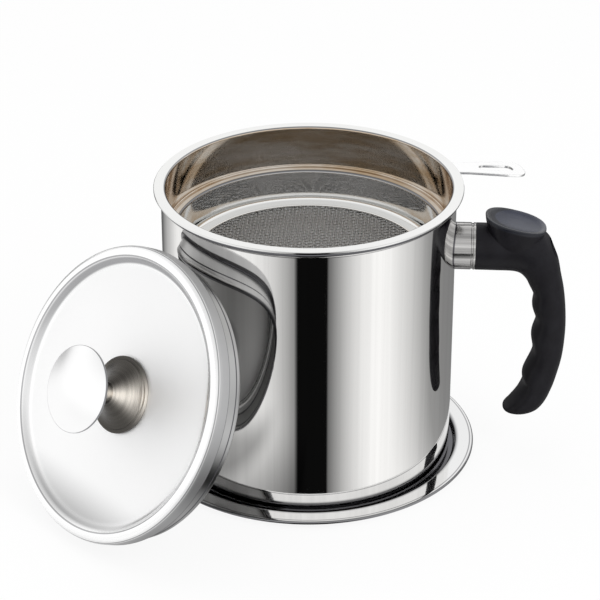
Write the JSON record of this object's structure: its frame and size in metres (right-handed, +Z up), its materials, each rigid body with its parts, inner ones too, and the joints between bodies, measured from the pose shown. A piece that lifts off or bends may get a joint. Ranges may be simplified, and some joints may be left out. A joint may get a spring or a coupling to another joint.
{
  "type": "kitchen grease pot",
  "caption": "Polished steel grease pot with a side handle, a lift-out strainer with a hanging tab, a plug lid with a knob, and a round drip tray.",
  "frame": {"origin": "centre of the drip tray's underside, on the surface the pot stands on", "axes": "+Z up; +X out along the handle arm; the lid leans against the pot on the -X, -Y side"},
  "size_m": [0.2321, 0.1882, 0.1242],
  "materials": {
    "tray": "polished stainless steel",
    "pot_body": "mirror-polished stainless steel",
    "pot_rim": "mirror-polished stainless steel",
    "handle_stud": "turned steel",
    "handle_ferrule": "polished steel tube",
    "handle_grip": "black moulded phenolic, satin",
    "handle_washer": "plain steel",
    "handle_screw": "plain steel",
    "strainer_bowl": "polished stainless steel",
    "strainer_mesh": "steel mesh",
    "mesh_ring": "satin steel",
    "strainer_tab": "polished steel sheet",
    "lid_shell": "mirror-polished stainless steel",
    "lid_collar": "polished stainless steel",
    "knob_base": "brushed steel, warm grey",
    "knob_cap": "mirror-polished steel",
    "knob_insert": "turned steel",
    "knob_washer": "plain steel",
    "knob_screw": "plain steel"
  },
  "bodies": {
    "tray": {"tray": "tray"},
    "pot": {"pot_body": "pot_body", "pot_rim": "pot_rim", "handle_stud": "handle_stud", "handle_ferrule": "handle_ferrule", "handle_grip": "handle_grip", "handle_washer": "handle_washer", "handle_screw": "handle_screw"},
    "strainer": {"strainer_bowl": "strainer_bowl", "strainer_mesh": "strainer_mesh", "mesh_ring": "mesh_ring", "strainer_tab": "strainer_tab"},
    "lid": {"lid_shell": "lid_shell", "lid_collar": "lid_collar", "knob_base": "knob_base", "knob_cap": "knob_cap", "knob_insert": "knob_insert", "knob_washer": "knob_washer", "knob_screw": "knob_screw"}
  },
  "joints": [
    {"name": "pot_lift", "type": "slide", "parent": "tray", "child": "pot", "axis": [0, 0, 1], "range_m": [0, 0.06]},
    {"name": "strainer_lift", "type": "slide", "parent": "pot", "child": "strainer", "axis": [0, 0, 1], "range_m": [0, 0.07]},
    {"name": "lid_away", "type": "slide", "parent": "tray", "child": "lid", "axis": [-0.6421, -0.6245, 0.4446], "range_m": [0, 0.08]}
  ]
}
